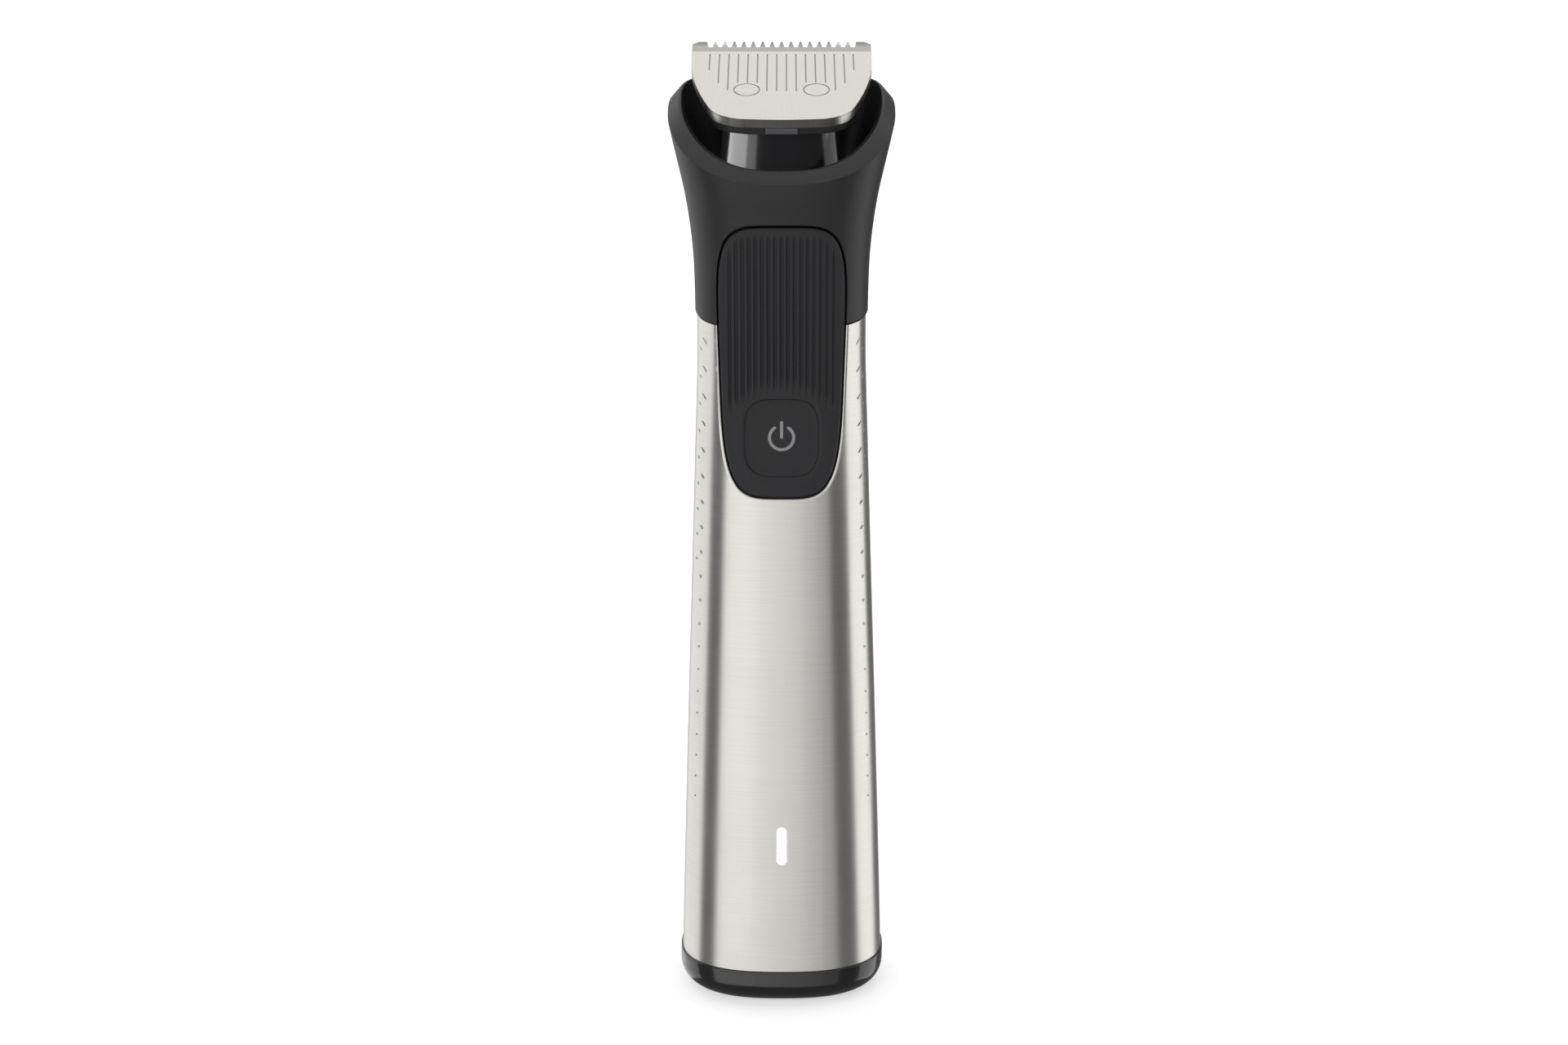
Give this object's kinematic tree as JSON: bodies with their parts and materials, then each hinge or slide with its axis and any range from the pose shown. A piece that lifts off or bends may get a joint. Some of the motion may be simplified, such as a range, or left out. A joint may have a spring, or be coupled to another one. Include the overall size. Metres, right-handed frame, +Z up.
{
  "type": "beard trimmer",
  "caption": "Cordless beard trimmer with a steel-sleeved handle, flared collar, ribbed grip pad with a power button, and a lift-off toothed cutting head.",
  "frame": {"origin": "middle of the foot's underside", "axes": "+Z up the handle to the cutting head, -Y out of the grip pad, +X to the viewer's right"},
  "size_m": [0.0376, 0.0321, 0.1648],
  "materials": {
    "guard_steel": "bright satin, fine grain along the teeth",
    "cutter_steel": "ground",
    "spring_steel": "satin",
    "sleeve_steel": "satin, brushed across the handle",
    "collar_black": "soft matt",
    "pad_charcoal": "soft touch, ribbed",
    "neck_black": "high gloss",
    "tray_black": "satin",
    "foot_black": "satin",
    "socket_black": "satin",
    "symbol_print": "flat print",
    "lens_white": "frosted, lit from behind",
    "seal_rubber": "matt",
    "driver_white": "satin acetal",
    "frame_grey": "moulded, fine texture",
    "screw_steel": "zinc plated",
    "cell_wrap": "shrink wrap",
    "tab_nickel": "nickel",
    "board_green": "solder mask",
    "chip_black": "moulded",
    "pin_gold": "plated",
    "can_zinc": "zinc plated",
    "magnet_dark": "sintered",
    "bush_bronze": "sintered bronze",
    "brush_copper": "carbon and copper",
    "core_steel": "laminated",
    "copper_wire": "enamelled copper",
    "shaft_steel": "ground",
    "lead_red": "silicone sheath",
    "lead_black": "silicone sheath"
  },
  "bodies": {
    "handle": {"head_collar": "collar_black", "collar_gasket": "seal_rubber", "steel_sleeve": "sleeve_steel", "grip_pad": "pad_charcoal", "indicator_lens": "lens_white", "foot_cap": "foot_black", "foot_seal": "seal_rubber", "charging_socket": "socket_black", "charging_pins": "pin_gold", "frame_front": "frame_grey", "frame_rear": "frame_grey", "frame_screws": "screw_steel", "battery_cell": "cell_wrap", "battery_tabs": "tab_nickel", "circuit_board": "board_green", "board_chips": "chip_black", "tact_switch": "screw_steel", "status_led": "lens_white", "motor_can": "can_zinc", "motor_magnets": "magnet_dark", "motor_end_cap": "driver_white", "motor_bushes": "bush_bronze", "motor_brushes": "brush_copper", "motor_terminals": "pin_gold", "motor_mount": "frame_grey", "motor_screws": "screw_steel", "shaft_seal": "seal_rubber", "deck_screws": "screw_steel", "battery_leads": "lead_red", "motor_leads": "lead_black", "socket_leads": "lead_black"},
    "head": {"guard_plate": "guard_steel", "guard_rivets": "guard_steel", "blade_tray": "tray_black", "snap_tab": "tray_black", "head_neck": "neck_black", "tension_spring": "spring_steel"},
    "cutter": {"cutter_blade": "cutter_steel", "cutter_driver": "driver_white"},
    "rotor": {"armature_core": "core_steel", "armature_windings": "copper_wire", "commutator": "brush_copper", "motor_shaft": "shaft_steel", "eccentric_hub": "driver_white", "eccentric_pin": "shaft_steel"},
    "button": {"power_button": "pad_charcoal", "power_symbol": "symbol_print", "switch_plunger": "chip_black"}
  },
  "joints": [
    {"name": "head_lift", "type": "slide", "parent": "handle", "child": "head", "axis": [0, 0, 1], "range_m": [0, 0.03]},
    {"name": "cutter_stroke", "type": "slide", "parent": "head", "child": "cutter", "axis": [1, 0, 0], "range_m": [-0.0008, 0.0008]},
    {"name": "motor_spin", "type": "hinge", "parent": "handle", "child": "rotor", "pos_m": [0, 0.001, 0.1], "axis": [0, 0, 1], "continuous": true},
    {"name": "power_press", "type": "slide", "parent": "handle", "child": "button", "axis": [0, 1, 0], "range_m": [0, 0.0006], "stiffness_N_per_m": 800, "springref_m": -0.0006}
  ]
}
